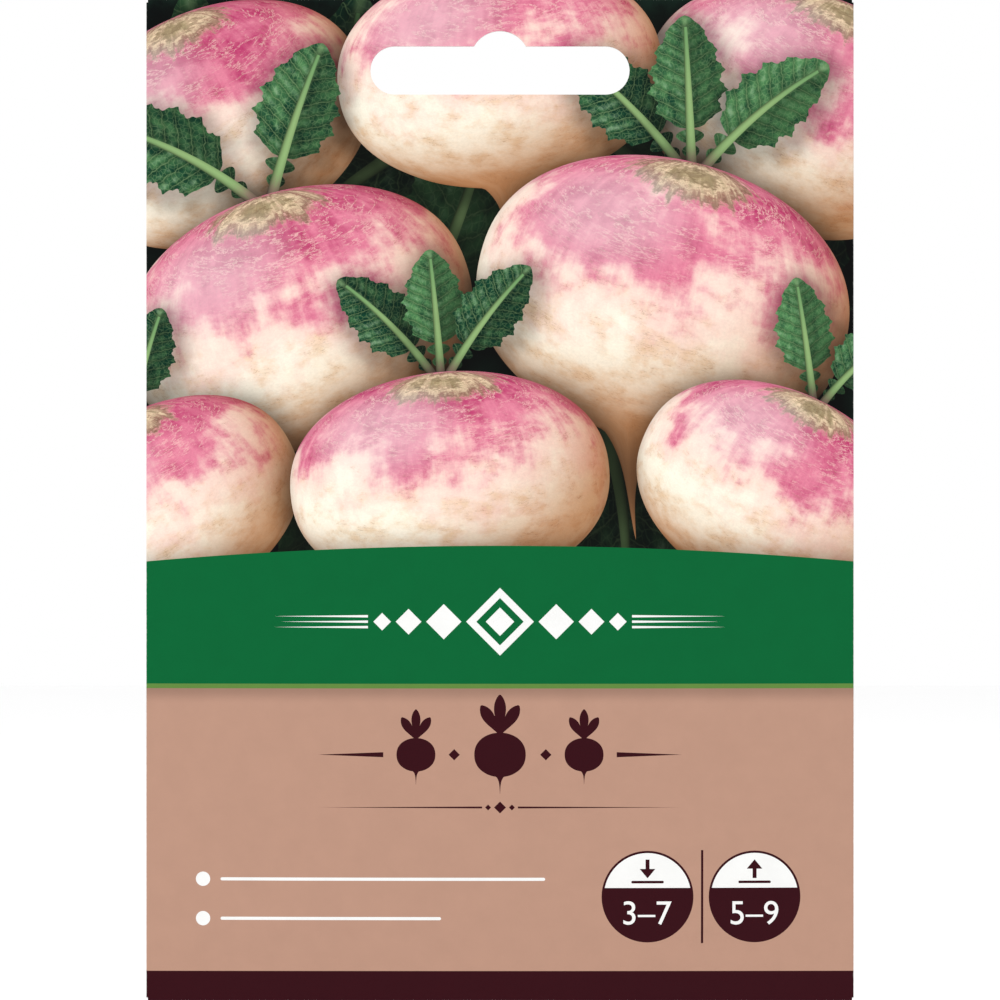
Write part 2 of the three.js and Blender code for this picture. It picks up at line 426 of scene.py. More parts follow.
def pictureMotifs():
    made, crowns, drawn = [], {}, {}
    p = picture
    for name, (x, up, halfWidth, halfHeight, tilt, seed, dim) in roots.items():
        shape = turnip(x, up, halfWidth, halfHeight, tilt, seed, p["tail"], -tilt / 70, dim)
        drawn[name], crowns[name] = shape
    for k, (x, up, heading, length, curl) in enumerate(farLeaves):
        made += leaf((x, up), heading, length, p["farLeafHalf"], curl, k + 1.0, *p["farLeaf"])
    made += [drawn[name] for name in ("topLeft", "topRight", "top")]
    for row, front in (("behind", ("left", "right")), ("between", ("lowRight", "lowLeft", "lowMiddle"))):
        for name, headings, length, width in leafFans[row]:
            for k, heading in enumerate(headings):
                long = length * (1 - 0.08 * (k % 2))
                curl = (heading - 90) * p["leafFanCurl"]
                seed = heading * 0.37 + k
                made += leaf(crowns[name], heading, long, width, curl, seed, *p["nearLeaf"])
        made += [drawn[name] for name in front]
    return made


# The plain print under the picture, and the marks that stand where lettering would be
label = {
    "lineTop": 50.7,
    "lineBottom": 49.96,
    "footTop": 4.82,
    "chain": (60.6, 36, 5.4),  # the lozenges in the green band: height, reach and size
    "marksUp": 39.4,
    "marks": ((-13.4, 3.1), (0, 4.1), (13.4, 3.1)),  # x and size
    "marksRule": (18.6, 29, 0.8),  # its ends and thickness
    "dot": 0.9,
    "ornament": (31, 29, 0.95),
    "bulletX": -47.4,
    "bulletRadius": 1.15,
    "rulesFrom": -44.6,
    "rules": ((19.55, 7.2), (13.25, -9.4)),  # height and right end
    "ruleThick": 0.5,
    "divider": (32.06, 9.28, 32.42, 24.18),
    "badgeRadius": 7.33,
    "badgeRing": 0.36,
    "badgeUp": 16.74,
    "badgeMiddles": (23.52, 40.62),
    "badgeChord": 1.41,  # the badge's white cap ends this far above its middle
    "monthsSow": "3–7",
    "monthsPick": "5–9",
    "numeralSize": 5.4,
    "arrow": (0.32, 1.25, 1.5),  # half widths of its shaft and its head, and its half length
    "soilLine": (2.6, 1.75, 0.42),  # half length, how far under the cap's middle, thickness
}


def numerals(text, size, x, up, ink, mirrored=False):  # plain figures, centred on x and up
    curve = bpy.data.curves.new("figures", "FONT")
    curve.body = text
    curve.size = size
    curve.resolution_u = 5
    holder = link("figures", curve)
    flat = bpy.data.meshes.new_from_object(holder.evaluated_get(bpy.context.evaluated_depsgraph_get()))
    points = np.array([v.co[:2] for v in flat.vertices])
    used = {}
    for face in flat.polygons:
        for key in face.edge_keys:
            used[key] = used.get(key, 0) + 1
    edges = np.array([key for key, count in used.items() if count == 1])
    kept, edges = np.unique(edges, return_inverse=True)
    points = points[kept]
    points -= (points.min(0) + points.max(0)) / 2
    if mirrored:
        points[:, 0] *= -1
    bpy.data.objects.remove(holder)
    bpy.data.curves.remove(curve)
    bpy.data.meshes.remove(flat)
    return motif((points + [x, up], edges.reshape(-1, 2)), ink)


def diamond(x, up, half):
    return np.array([[x - half, up], [x, up - half], [x + half, up], [x, up + half]], float)


def taperRule(x0, x1, up, thick):  # thick at x0 and pointed at x1
    return np.array([[x0, up - thick / 2], [x1, up], [x0, up + thick / 2]], float)


def roundBar(x0, x1, up, thick):
    r = thick / 2
    right = arc(x1 - r, up, r, -math.pi / 2, math.pi / 2, 8)
    left = arc(x0 + r, up, r, math.pi / 2, math.pi * 1.5, 8)
    return np.concatenate([right, left])


def lozengeChain(x, up, reach, size, paint, ground):  # a large lozenge between shrinking ones and long rules
    nested = ((1, paint), (0.7, ground), (0.42, paint))
    made = [printed(diamond(x, up, size * grow), ink) for grow, ink in nested]
    for side in (-1, 1):
        middle = x + side * size
        for share in (0.52, 0.38, 0.26):
            middle += side * size * (share + 0.14)
            made.append(printed(diamond(middle, up, size * share), paint))
            middle += side * size * share
        for offset, end in ((0.16, reach), (0, reach * 0.97), (-0.16, reach)):
            start = middle + side * size * 0.16
            made.append(printed(taperRule(start, x + side * end, up + offset * size, size * 0.07), paint))
    return made


def ornament(x, up, reach, size, paint):
    made = [printed(diamond(x, up, size), paint)]
    for side in (-1, 1):
        made.append(printed(diamond(x + side * size * 2, up, size / 2), paint))
        made.append(printed(taperRule(x + side * size * 3, x + side * reach, up, size * 0.32), paint))
    return made


def rootMark(x, up, size, paint):  # a plain round root with a tuft, as one flat shape each
    body = turnip(x, up, size, size * 0.86, 0, 0, 0.8, 0.0)[0]
    body.update(paint=paint, shadow=0.0, local=lambda px, pw: (px, pw))
    made = [body]
    for heading, length in ((90, 1.55), (57, 1.35), (123, 1.35)):
        angle = math.radians(heading)
        foot = np.array([x, up + size * 0.78])
        tip = foot + size * length * np.array([math.cos(angle), math.sin(angle)])
        side = np.array([-math.sin(angle), math.cos(angle)])
        t = np.linspace(0, 1, 14)
        half = size * 0.2 * np.sin(math.pi * t ** 1.6) ** 0.8 + size * 0.035
        spine = foot + (tip - foot) * t[:, None]
        lift = side * half[:, None]
        made.append(printed(np.concatenate([spine + lift, (spine - lift)[::-1]]), paint))
    return made


def badge(x, months, arrowWay):
    up, radius = label["badgeUp"], label["badgeRadius"]
    inner = radius - label["badgeRing"]
    start = math.asin(label["badgeChord"] / inner)
    cap = arc(x, up, inner, start, math.pi - start, 30)
    middle = up + (label["badgeChord"] + inner) / 2 - 0.1
    shaft, head, long = label["arrow"]
    reach, under, thick = label["soilLine"]
    arrow = [[-shaft, -long], [shaft, -long], [shaft, 0], [head, 0], [0, long], [-head, 0], [-shaft, 0]]
    return [
        printed(circle(x, up, radius, 64), "maroonInk"),
        printed(cap, "bareWhite"),
        printed(np.array(arrow) * [1, arrowWay] + [x, middle + 0.35], "maroonInk"),
        printed(roundBar(x - reach, x + reach, middle - under, thick), "maroonInk"),
        numerals(months, label["numeralSize"], x, up - 2.6, "bareWhite"),
    ]


def labelMotifs():
    half = packet["halfWidth"] + 1
    top = bandTop()
    green = np.concatenate([box(-half, label["lineTop"], half, 0)[:2], top])
    made = [
        motif(ring(green), "greenInk", shadow=0.5, soft=3.0),
        printed(box(-half, -3, half, label["lineBottom"]), "tanInk"),
        printed(box(-half, label["lineBottom"], half, label["lineTop"]), "lineInk"),
        printed(box(-half, -3, half, label["footTop"]), "maroonInk"),
    ]
    made += lozengeChain(0, *label["chain"], "bareWhite", "greenInk")
    marksUp = label["marksUp"]
    for x, size in label["marks"]:
        made += rootMark(x, marksUp, size, "maroonInk")
        made.append(printed(diamond(x / 2 + math.copysign(0.6, x), marksUp, label["dot"]), "maroonInk"))
    start, end, thick = label["marksRule"]
    for side in (-1, 1):
        made.append(printed(taperRule(side * start, side * end, marksUp, thick), "maroonInk"))
    made += ornament(0, *label["ornament"], "maroonInk")
    for up, end in label["rules"]:
        made.append(printed(circle(label["bulletX"], up, label["bulletRadius"], 24), "bareWhite"))
        made.append(printed(roundBar(label["rulesFrom"], end, up, label["ruleThick"]), "bareWhite"))
    made.append(printed(box(*label["divider"]), "maroonInk"))
    sowX, pickX = label["badgeMiddles"]
    return made + badge(sowX, label["monthsSow"], -1) + badge(pickX, label["monthsPick"], 1)


# The back, seen from behind, so its x runs the other way: rules where lettering would be,
# three pictures of how to sow, and a strip of months
back = {
    "panel": (-46, 60, 46, 132),
    "margin": 6,
    "heading": (125, 30, 1.9),  # height, length and thickness
    "rules": ((118.5, 6), (114.9, 9), (111.3, 7), (107.7, 38)),  # height, and how far it ends from the side
    "tileUp": 91,
    "tileHalf": 9.5,
    "tilePitch": 28,
    "soilHalf": 7.2,
    "plantsApart": 4.4,
    "figureUp": 76.5,
    "figureSize": 6.4,
    "figures": ("1", "15", "30"),
    "ornament": (66.5, 34, 1),
    "stripUp": 42,
    "stripHalf": 46,
    "stripTall": 6.4,
    "cellGap": 0.3,
    "rowPitch": 4.4,
    "rowTall": 3.4,
    "numeralSize": 3.6,
    "sow": (3, 7),
    "pick": (5, 9),
}


def roundBox(x0, up0, x1, up1, r):
    corners = [(x1 - r, up1 - r, 0), (x0 + r, up1 - r, 0.5), (x0 + r, up0 + r, 1), (x1 - r, up0 + r, 1.5)]
    return np.concatenate([arc(cx, cy, r, a * math.pi, (a + 0.5) * math.pi, 8) for cx, cy, a in corners])


def measureArrow(x, up, half, upright=False):  # an arrow with a head at both ends
    head, wing, thin = half - 1.2, 0.9, 0.2
    side = np.array([[-half, 0], [-head, -wing], [-head, -thin], [head, -thin], [head, -wing]])
    shape = np.concatenate([side, -side])
    if upright:
        shape = np.stack([-shape[:, 1], shape[:, 0]], -1)
    return shape + [x, up]


def tile(x, up, marks):
    half, soilHalf, apart = back["tileHalf"], back["soilHalf"], back["plantsApart"]
    soil = up - (0.2 if marks == "depth" else 3.4)
    made = [
        printed(roundBox(x - half, up - half, x + half, up + half, 2), "greenInk"),
        printed(roundBar(x - soilHalf, x + soilHalf, soil, 0.55), "bareWhite"),
    ]
    if marks == "depth":
        made.append(printed(circle(x + 2.2, up - 5.6, 1.1, 24), "bareWhite"))
        made.append(printed(measureArrow(x - 2.6, up - 3.1, 2.5, True), "bareWhite"))
        return made + sprout(x + 2.2, up + 0.1, 4.6)
    for plant in (x - apart, x + apart):
        if marks == "sprouts":
            made += sprout(plant, up - 3.1, 5.2)
        else:
            made += rootMark(plant, up - 0.2, 2.4, "bareWhite")
    return made + [printed(measureArrow(x, up - 6.4, apart), "bareWhite")]


def sprout(x, up, tall):
    made = [printed(box(x - 0.2, up, x + 0.2, up + tall * 0.6), "bareWhite")]
    t = np.linspace(0, 1, 14)
    for side in (-1, 1):
        spine = np.stack([x + side * t * tall * 0.55, up + tall * (0.55 + 0.38 * t ** 0.7)], -1)
        lift = np.stack([t * 0, tall * 0.15 * np.sin(math.pi * t)], -1)
        made.append(printed(np.concatenate([spine + lift, (spine - lift)[-2:0:-1]]), "bareWhite"))
    return made


def monthStrip():
    up, tall = back["stripUp"], back["stripTall"]
    cell = 2 * back["stripHalf"] / 12
    half = cell / 2 - back["cellGap"]
    made = []
    for month in range(1, 13):
        middle = back["stripHalf"] - cell * (month - 0.5)
        made.append(printed(box(middle - half, up, middle + half, up + tall), "bareWhite"))
        made.append(numerals(str(month), back["numeralSize"], middle, up + tall / 2, "maroonInk", True))
        for (first, last), ink, row in ((back["sow"], "greenInk", 1), (back["pick"], "maroonInk", 2)):
            low = up - row * back["rowPitch"]
            shown = ink if first <= month <= last else "paleTan"
            made.append(printed(box(middle - half, low, middle + half, low + back["rowTall"]), shown))
    return made


def backMotifs():
    x0, up0, x1, up1 = back["panel"]
    start = x1 - back["margin"]
    up, long, thick = back["heading"]
    made = [
        printed(roundBox(x0, up0, x1, up1, 3), "bareWhite"),
        printed(roundBar(start - long, start, up, thick), "greenInk"),
    ]
    for up, short in back["rules"]:
        made.append(printed(roundBar(x0 + short, start, up, 0.5), "maroonInk"))
    for k, marks in enumerate(("depth", "sprouts", "roots")):
        x = back["tilePitch"] * (1 - k)
        made += tile(x, back["tileUp"], marks)
        made.append(numerals(back["figures"][k], back["figureSize"], x, back["figureUp"], "maroonInk", True))
    return made + ornament(0, *back["ornament"], "maroonInk") + monthStrip()


# One layer of paper: its outline is filled with triangles that follow every printed edge
def cutAt(outline, xs, ws):  # the outline with a point at each grid line that it crosses
    made = []
    outline = np.asarray(outline, float)
    for a, b in zip(outline, np.roll(outline, -1, 0)):
        axis = int(abs(b[1] - a[1]) > abs(b[0] - a[0]))
        lines = (xs, ws)[axis]
        shares = (lines - a[axis]) / (b[axis] - a[axis])
        shares = np.sort(shares[(shares > 1e-4) & (shares < 1 - 1e-4)])
        made.extend([a] + [a + (b - a) * share for share in shares])
    made = np.array(made)
    return made, chain(0, len(made), True)


def foldWear(x, w):  # 1 along the folds, where the print is rubbed thin
    pastFold = np.maximum(np.abs(x) - foldCentre, np.maximum(panelBottom - w, w - panelTop) / 4)
    return clamp01(pastFold / 0.3)


def creaseRuns(rim, grid, creases):  # points and edges along the folds' lines, where every face ends
    for axis, lines in enumerate(creases):
        along = grid[1 - axis]
        low, high = rim[0][:, 1 - axis].min(), rim[0][:, 1 - axis].max()
        along = np.concatenate([[low], along[(along > low) & (along < high)], [high]])
        for line in lines:
            pair = [np.full(len(along), line), along]
            run = np.stack(pair[::-1] if axis else pair, -1)
            middles = (run[1:] + run[:-1]) / 2
            kept = isInside(middles, rim) & (distanceTo(middles, rim) > 1e-3)
            yield run, chain(0, len(run))[kept]


def fillOutline(rim, hole, grid, creases, shown):
    gridPoints = np.stack([g.ravel() for g in np.meshgrid(*grid)], -1)
    gridPoints = gridPoints[isInside(gridPoints, rim) & ~isInside(gridPoints, hole)]
    runs = [(gridPoints, np.zeros((0, 2), int)), *creaseRuns(rim, grid, creases), rim, hole]
    runs += [m["outline"] for m in shown]
    starts = np.cumsum([0] + [len(corners) for corners, links in runs])
    flat = [Vector(p) for corners, links in runs for p in corners]
    edges = np.concatenate([links + start for (corners, links), start in zip(runs, starts)])
    joined = delaunay_2d_cdt(flat, [tuple(e) for e in edges.tolist()], [], 0, 0.003, False)
    flat = np.array([v[:] for v in joined[0]])
    faces = np.array(joined[2])
    a, b, c = (flat[faces[:, k]] for k in range(3))
    turned = (b[:, 0] - a[:, 0]) * (c[:, 1] - a[:, 1]) < (b[:, 1] - a[:, 1]) * (c[:, 0] - a[:, 0])
    faces[turned] = faces[turned][:, ::-1]
    middles = (a + b + c) / 3
    keep = isInside(middles, rim) & ~isInside(middles, hole)
    used, faces = np.unique(faces[keep], return_inverse=True)
    return flat[used], faces.reshape(-1, 3), middles[keep]


def shadowsOn(flat, shown):  # row k: the logarithm of the light that motif k and those in front of it leave
    dark = np.zeros((len(shown) + 2, len(flat)))
    for k, m in enumerate(shown, 1):
        if not m["shadow"]:
            continue
        soft, corners = m["soft"], m["outline"][0]
        reach = soft * 2.6
        near = np.all((flat > corners.min(0) - reach) & (flat < corners.max(0) + reach), 1)
        spots = flat[near] + [-0.25 * soft, 0.45 * soft]
        away = np.where(isInside(spots, m["outline"]), 0, distanceTo(spots, m["outline"]))
        dark[k, near] = np.log(1 - m["shadow"] * np.exp(-((away / soft) ** 2)))
    return np.cumsum(dark[::-1], 0)[::-1]


def makeLayer(place, facing, outline, grid, creases, motifs, basePaint):
    rim, hole = cutAt(outline, *grid), ring(slotLoop(), 0.7)
    low, high = rim[0].min(0) - 2, rim[0].max(0) + 2
    ends = [(m, m["outline"][0].min(0), m["outline"][0].max(0)) for m in motifs]
    shown = [m for m, start, end in ends if np.all(end > low) and np.all(start < high)]
    flat, faces, middles = fillOutline(rim, hole, grid, creases, shown)

    # Each face belongs to the last motif that covers it, and motifs in front of it shade it
    rank = np.zeros(len(faces), int)
    for k, m in enumerate(shown, 1):
        rank[isInside(middles, m["outline"])] = k
    corner = flat[faces]
    uv = corner.copy()
    shade = np.exp(shadowsOn(flat, shown)[rank[:, None] + 1, faces])
    seed = np.zeros(len(faces))
    wear = foldWear(corner[:, :, 0], corner[:, :, 1])
    for k, m in enumerate(shown, 1):
        mine = rank == k
        uv[mine] = np.stack(m["local"](corner[mine][:, :, 0], corner[mine][:, :, 1]), -1)
        shade[mine] *= m["dim"]
        seed[mine] = m["seed"]

    x, w = flat.T
    near = 0.01
    alongX = place(x + near, w) - place(x - near, w)
    alongW = place(x, w + near) - place(x, w - near)
    normals = np.cross(alongX, alongW)
    normals *= facing / np.linalg.norm(normals, axis=1)[:, None]
    outer = place(x, w)
    inner = outer - normals * packet["paper"]
    if facing < 0:
        faces, uv, shade, wear = (values[:, ::-1] for values in (faces, uv, shade, wear))
    paints = [basePaint] + [m["paint"] for m in shown]
    return {
        "flat": flat, "faces": faces, "outer": outer, "inner": inner, "normals": normals,
        "uv": uv, "shade": shade, "seed": seed, "wear": wear, "paint": [paints[r] for r in rank],
    }


def rimEdges(faces):  # edges with a face on one side only, in that face's direction
    count = faces.max() + 1
    directed = np.concatenate([faces[:, [0, 1]], faces[:, [1, 2]], faces[:, [2, 0]]])
    keys = directed[:, 0] * count + directed[:, 1]
    back = directed[:, 1] * count + directed[:, 0]
    return directed[~np.isin(keys, back)]


# Each layer has a strip of the OFBake map: its print, its inside and its cut edge lie side by side
bakeStrip = {
    "print": (0.01, 0.88),  # start and width, in the strip's own width
    "inside": (0.905, 0.04),
    "edge": (0.955, 0.035),
    "up": (0.01, 0.98),
}


def makeSheet(name, layers, cells, materials):  # cells are the widths of the layers' strips
    slots = list(materials)
    points, faces, paints, seeds = [], [], [], []
    corners = {"OFBake": [], "motif": [], "shade": [], "wear": [], "normal": []}

    def addFace(face, paint, bake, spot, normal, shade=1.0, wear=0.0, seed=0.0):
        faces.append(face.tolist())
        paints.append(slots.index(paint))
        seeds.append(seed)
        shade, wear = np.full(len(face), shade), np.full(len(face), wear)
        for values, value in zip(corners.values(), (bake, spot, shade, wear, normal)):
            values.append(value)

    first = 0
    cellLow = 0
    for layer, cellWide in zip(layers, cells):
        outer, normals, flat = layer["outer"], layer["normals"], layer["flat"]
        n = len(outer)
        points += [outer, layer["inner"]]
        share = (flat - flat.min(0)) / (flat.max(0) - flat.min(0))

        def bakeAt(part, across, up):
            (start, wide), (low, tall) = bakeStrip[part], bakeStrip["up"]
            return np.stack([cellLow + cellWide * (start + wide * across), low + tall * up], -1)

        front, behind = (bakeAt(part, share[:, 0], share[:, 1]) for part in ("print", "inside"))
        for k, face in enumerate(layer["faces"]):
            paint, shade, wear, seed = (layer[key][k] for key in ("paint", "shade", "wear", "seed"))
            addFace(face + first, paint, front[face], layer["uv"][k], normals[face], shade, wear, seed)
        for face in layer["faces"][:, ::-1]:
            addFace(face + n + first, "bareInside", behind[face], flat[face], -normals[face])
        rims = rimEdges(layer["faces"])
        for k, (a, b) in enumerate(rims):
            across, up = np.array([0, 0, 1, 1]), (k + np.array([0.8, 0, 0, 0.8])) / len(rims)
            out = np.cross(outer[b] - outer[a], normals[a])
            out = np.tile(out / max(np.linalg.norm(out), 1e-9), (4, 1))
            quad = np.array([b, a, a + n, b + n]) + first
            addFace(quad, "cutEdge", bakeAt("edge", across, up), flat[[b, a, a, b]], out)
        first += 2 * n
        cellLow += cellWide
    mesh = bpy.data.meshes.new(name)
    mesh.from_pydata((np.concatenate(points) + [0, 0, packet["bottomZ"]]) * mm, [], faces)
    for material in materials.values():
        mesh.materials.append(material)
    mesh.polygons.foreach_set("material_index", np.array(paints))
    mesh.polygons.foreach_set("use_smooth", np.ones(len(faces), bool))
    joined = {key: np.concatenate(values) for key, values in corners.items()}
    for key in ("OFBake", "motif"):
        mesh.uv_layers.new(name=key).data.foreach_set("uv", joined[key].ravel())
    for key in ("shade", "wear"):
        mesh.attributes.new(key, "FLOAT", "CORNER").data.foreach_set("value", joined[key])
    mesh.attributes.new("motifSeed", "FLOAT", "FACE").data.foreach_set("value", np.array(seeds))
    mesh.normals_split_custom_set(joined["normal"])
    mesh.update()
    return link(name, mesh)


# Node helpers: a Field is a node's output that can be added and multiplied like a number
def feed(tree, socket, value):
    if isinstance(value, Field):
        value = value.socket
    if isinstance(value, bpy.types.NodeSocket):
        tree.links.new(value, socket)
    else:
        socket.default_value = value


def addNode(tree, kind, values=(), **settings):
    node = tree.nodes.new(kind)
    for name, value in settings.items():
        setattr(node, name, value)
    for key, value in dict(values).items():
        feed(tree, node.inputs[key], value)
    return node


class Field:
    def __init__(self, tree, socket):
        self.tree = tree
        self.socket = socket

    def math(self, operation, other=0.0):
        node = addNode(self.tree, "ShaderNodeMath", {0: self, 1: other}, operation=operation)
        return Field(self.tree, node.outputs[0])

    def __add__(self, other):
        return self.math("ADD", other)

    def __sub__(self, other):
        return self.math("SUBTRACT", other)

    def __mul__(self, other):
        return self.math("MULTIPLY", other)

    def off(self):  # how far it is from a half, on either side
        return (self - 0.5).math("ABSOLUTE")

    def ramp(self, low, high):  # 0 at low, 1 at high, smooth between
        values = {"Value": self, "From Min": low, "From Max": high}
        node = addNode(self.tree, "ShaderNodeMapRange", values, interpolation_type="SMOOTHSTEP")
        return Field(self.tree, node.outputs["Result"])


class Finish:  # a material and its nodes
    def __init__(self, name, roughness, specular):
        self.material = bpy.data.materials.new(name)
        self.material.use_nodes = True
        self.tree = self.material.node_tree
        self.shader = self.tree.nodes["Principled BSDF"]
        self.set("Roughness", roughness)
        self.set("Specular IOR Level", specular)
        self.place = self.add("ShaderNodeTexCoord").outputs["Object"]

    def add(self, kind, values=(), **settings):
        return addNode(self.tree, kind, values, **settings)

    def set(self, name, value):
        feed(self.tree, self.shader.inputs[name], value)

    def split(self, vector):
        return [Field(self.tree, part) for part in self.add("ShaderNodeSeparateXYZ", {0: vector}).outputs]

    def join(self, x, y, z):
        return self.add("ShaderNodeCombineXYZ", {0: x, 1: y, 2: z}).outputs[0]

    def motifPlace(self):  # the motif's own coordinates
        return self.split(self.add("ShaderNodeUVMap", uv_map="motif").outputs["UV"])[:2]

    def attribute(self, name):
        return Field(self.tree, self.add("ShaderNodeAttribute", attribute_name=name).outputs["Fac"])

    def noise(self, at, scale, detail=4.0, rough=0.5):
        at = self.join(*at) if isinstance(at, (list, tuple)) else at
        values = {"Vector": at, "Scale": scale, "Detail": detail, "Roughness": rough}
        return Field(self.tree, self.add("ShaderNodeTexNoise", values).outputs["Fac"])

    def mix(self, amount, first, second, blend="MIX"):
        node = self.add("ShaderNodeMix", {0: amount, 6: first, 7: second}, data_type="RGBA", blend_type=blend)
        return node.outputs[2]

    def shaded(self, color, factor):
        return self.mix(1.0, color, self.join(factor, factor, factor), "MULTIPLY")

    def bump(self, height, strength, distance):
        node = self.add("ShaderNodeBump", {"Strength": strength, "Distance": distance, "Height": height})
        self.set("Normal", node.outputs["Normal"])


coating = {
    "roughness": 0.38,
    "specular": 0.07,
    "bump": 0.25,
    "gloss": 0.0065,  # what the coat reflects straight on, which the ink's own colour leaves out
    "white": 0.83,  # the share of light that the whitest paper gives back
    "bare": (232, 228, 222),  # the paper where the print is rubbed off
}


def linear(red, green, blue):
    shares = [c / 255 for c in (red, green, blue)]
    made = [c / 12.92 if c <= 0.04045 else ((c + 0.055) / 1.055) ** 2.4 for c in shares]
    return (*(max(0, c - coating["gloss"]) for c in made), 1.0)


def tints(colors):
    return {name: linear(*rgb) for name, rgb in colors.items()}


def printFinish(name):
    return Finish(name, coating["roughness"], coating["specular"])


def finishPrint(made, color):  # what every printed colour shares
    fibres = made.noise(made.place, 1900, 6.0, 0.7)
    rubbed = (made.attribute("wear") * 0.5 + fibres).ramp(0.8, 1.15) * 0.45
    color = made.shaded(color, made.attribute("shade") * coating["white"])
    made.set("Base Color", made.mix(rubbed, color, linear(*coating["bare"])))
    made.bump(made.noise(made.place, 900, 6.0, 0.6), coating["bump"], 0.00003)
    return made.material


def inkMaterial(name, rgb, fade=None):  # a solid ink with the faint mottle of print; fade darkens its top
    made = printFinish(name)
    level = made.noise(made.place, 260, 5.0, 0.6).ramp(0.2, 0.8) * 0.05 + 0.975
    if fade:
        top, depth, amount = fade
        below = (made.split(made.place)[2] * -1.0 + top * mm).ramp(0.0, depth * mm)
        level = level * (below * amount + (1 - amount))
    return finishPrint(made, made.shaded(linear(*rgb), level))


skin = {
    "deep": (186, 60, 108),
    "pink": (226, 132, 156),
    "blush": (249, 212, 200),
    "cream": (255, 247, 228),
    "tan": (232, 200, 160),
    "scar": (150, 112, 84),
    "cork": (232, 210, 172),
    "rim": (126, 92, 74),
    "bud": (132, 128, 84),
    "shadow": (222, 174, 140),
}
skinShape = {
    "crown": 0.42,  # how far the picture looks down on the crowns
    "purple": (0.32, 0.72),  # where the purple top ends
    "corkReach": 0.27,
    "rings": 84.0,
    "light": (-0.42, 0.52, 0.74),
}


def rootSkinMaterial():
    made = printFinish("rootSkin")
    tint = tints(skin)
    white = (1, 1, 1, 1)
    u, v = made.motifPlace()
    seed = made.attribute("motifSeed")
    depth = ((u * u + v * v) * -1.0 + 1.0).math("MAXIMUM", 0.0).math("SQRT")
    around = u.math("ARCTAN2", depth + 0.06)
    latitude = v * 0.92 + depth * skinShape["crown"]
    onBall = made.join(u + seed * 3.1, v + seed * 1.7, depth)
    broad = made.noise(onBall, 2.1, 3.0)
    blotch = made.noise(onBall, 5.2, 7.0, 0.62)
    speckle = made.noise(onBall, 19.0, 8.0, 0.72)
    streaks = made.noise((around * 8.0, latitude * 1.5, seed * 5.7), 1.5, 7.0, 0.65)

    # Where the purple top ends, in drips and blotches
    edge = latitude + (broad - 0.5) * 1.5 + (blotch - 0.5) * 0.75 + (streaks - 0.5) * 0.55
    deepness = (edge + (blotch - 0.5) * 0.8 + (streaks - 0.5) * 0.8).ramp(0.5, 1.35)
    pinks = made.mix(deepness, tint["pink"], tint["deep"])
    pinks = made.mix((speckle * 0.7 + streaks * 0.5).ramp(0.62, 0.82) * 0.4, pinks, tint["blush"])

    # The cream below, with yellowish and brown patches
    creams = made.mix(edge.ramp(-0.2, 0.4) * 0.8, tint["cream"], tint["blush"])
    yellowed = (blotch + v * -0.16 + (speckle - 0.5) * 0.3).ramp(0.46, 0.82)
    creams = made.mix(yellowed * 0.8, creams, tint["tan"])
    color = made.mix(edge.ramp(*skinShape["purple"]), creams, pinks)

    # Pale cracks, then corky rings round the crown
    cracks = made.noise((around * 3.0, latitude * 13.0, seed + 2.3), 1.7, 6.0, 0.68).off().ramp(0.03, 0.0)
    cracks = cracks * latitude.ramp(0.35, 0.8) * blotch.ramp(0.4, 0.56)
    color = made.mix(cracks * 0.6, color, tint["blush"])
    reach = skinShape["corkReach"]
    fromCrown = (latitude * -1.0 + 1.012).math("MAXIMUM", 0.0).math("SQRT")
    ragged = fromCrown + (streaks - 0.5) * 0.34 + (speckle - 0.5) * 0.22
    rings = fromCrown * skinShape["rings"] + (speckle - 0.5) * 26.0 + (blotch - 0.5) * 14.0
    cork = made.mix(rings.math("SINE").ramp(0.0, 1.0) * 0.5, tint["cork"], tint["rim"])
    cork = made.mix(ragged.ramp(0.15, 0.05) * 0.8, cork, tint["bud"])
    inCork = ragged.ramp(reach, 0.2)
    cork = made.mix(ragged.ramp(0.14, 0.2) * inCork * 0.8, cork, tint["rim"])
    color = made.mix(inCork * 0.9, color, made.shaded(cork, (speckle - 0.5) * 1.4 + 0.92))

    # Thin scratches and specks, and the tail's brown end
    scratches = made.noise((around * 2.2, latitude * 9.0, seed), 2.6, 4.0, 0.6).off().ramp(0.012, 0.0)
    scratches = scratches * blotch.ramp(0.5, 0.62)
    specks = speckle.ramp(0.70, 0.78)
    color = made.mix((scratches * 0.55).math("MAXIMUM", specks * 0.4), color, tint["scar"])
    color = made.mix((v * -1.0).ramp(0.8, 0.93) * 0.6, color, tint["tan"])

    # Soft light from the upper left, and warm shade below
    a, b, c = skinShape["light"]
    light = u * a + v * b + depth * c
    color = made.mix(1.0, color, made.mix(light.ramp(-0.25, 0.7), tint["shadow"], white), "MULTIPLY")
    level = (light.ramp(-0.5, 0.8) * 0.45 + 0.64) * (depth.ramp(0.0, 0.42) * 0.24 + 0.76)
    grain = made.noise(onBall, 62.0, 3.0, 0.75)
    color = made.shaded(color, level * ((speckle - 0.5) * 0.22 + (grain - 0.5) * 0.3 + 1.0))
    return finishPrint(made, made.mix(light.ramp(0.8, 1.04) * 0.3, color, white))


foliage = {
    "groundDark": (14, 22, 22),
    "groundLight": (34, 56, 46),
    "dark": (24, 62, 46),
    "light": (80, 130, 82),
    "vein": (142, 178, 124),
    "shine": (168, 198, 164),
    "stalkFoot": (196, 130, 140),
    "stalk": (150, 184, 122),
    "stalkTip": (120, 165, 108),
}
veinsPerLeaf = 9.0


